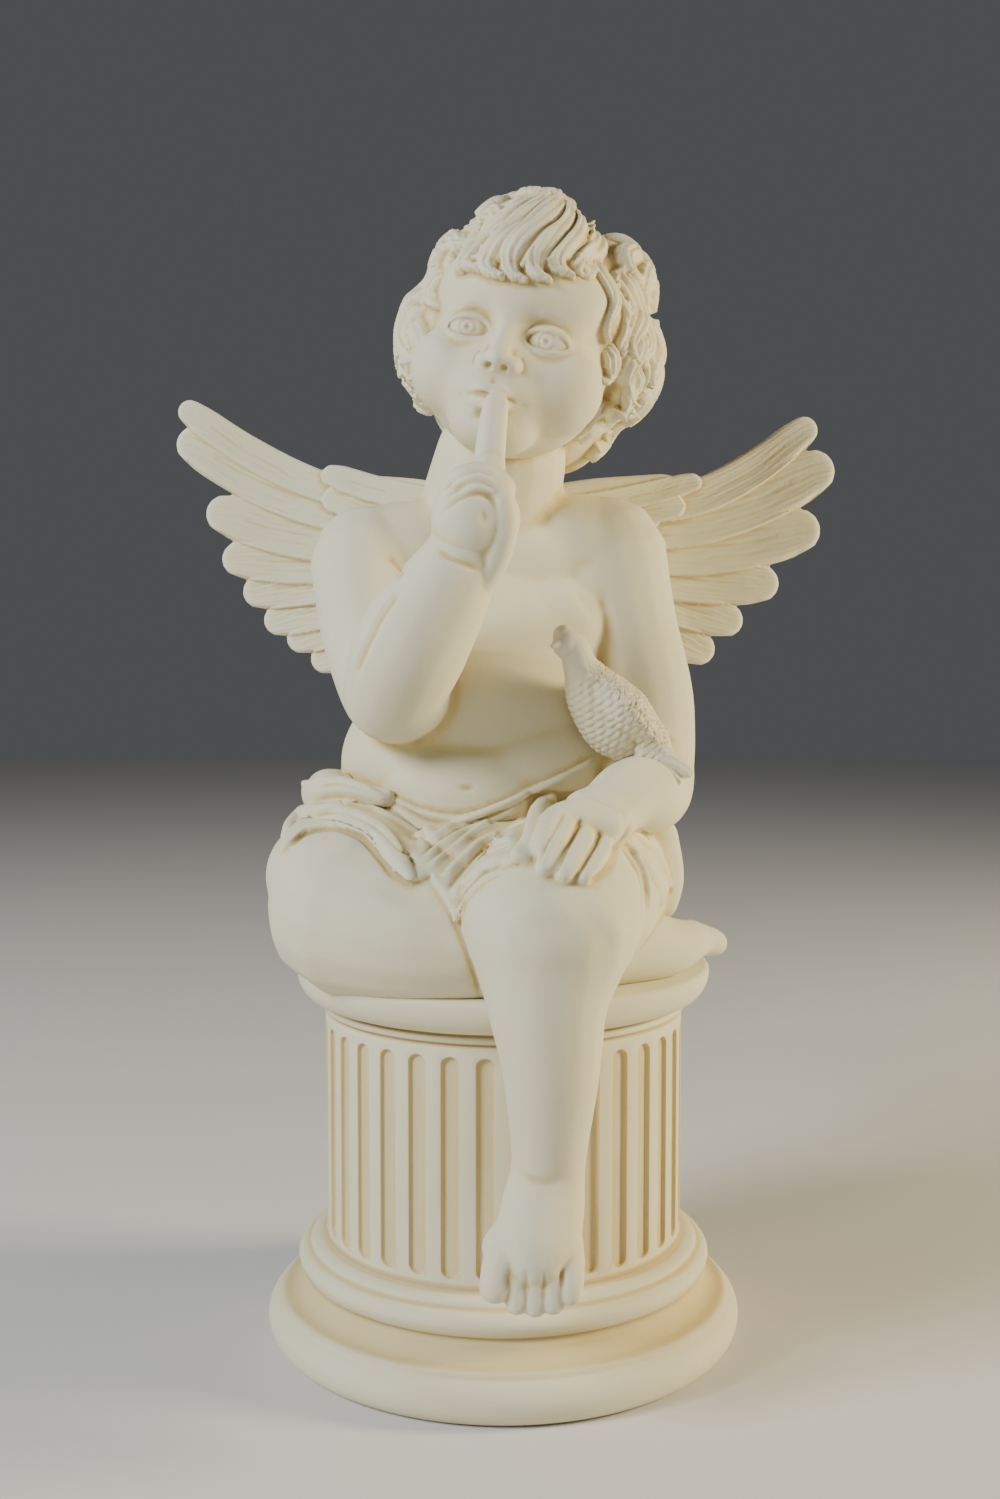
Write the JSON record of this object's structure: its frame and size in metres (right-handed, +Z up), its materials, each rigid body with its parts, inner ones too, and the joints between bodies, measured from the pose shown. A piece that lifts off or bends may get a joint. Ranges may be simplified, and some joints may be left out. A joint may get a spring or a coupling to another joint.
{
  "type": "angel statue on column",
  "caption": "Winged plaster cherub holding a small bird, seated with a finger to its lips on a round fluted column with a moulded base.",
  "frame": {"origin": "centre of the column's underside, on the column's axis", "axes": "+Z up along the column's axis; the cherub faces -Y; +X is on the viewer's right"},
  "size_m": [0.3251, 0.2429, 0.4984],
  "materials": {
    "column": "matte cast plaster",
    "cherub": "matte cast plaster",
    "wing_left": "matte cast plaster",
    "wing_right": "matte cast plaster",
    "bird": "rough greyed cast plaster"
  },
  "bodies": {
    "root": {"column": "column", "cherub": "cherub", "wing_left": "wing_left", "wing_right": "wing_right", "bird": "bird"}
  },
  "joints": []
}
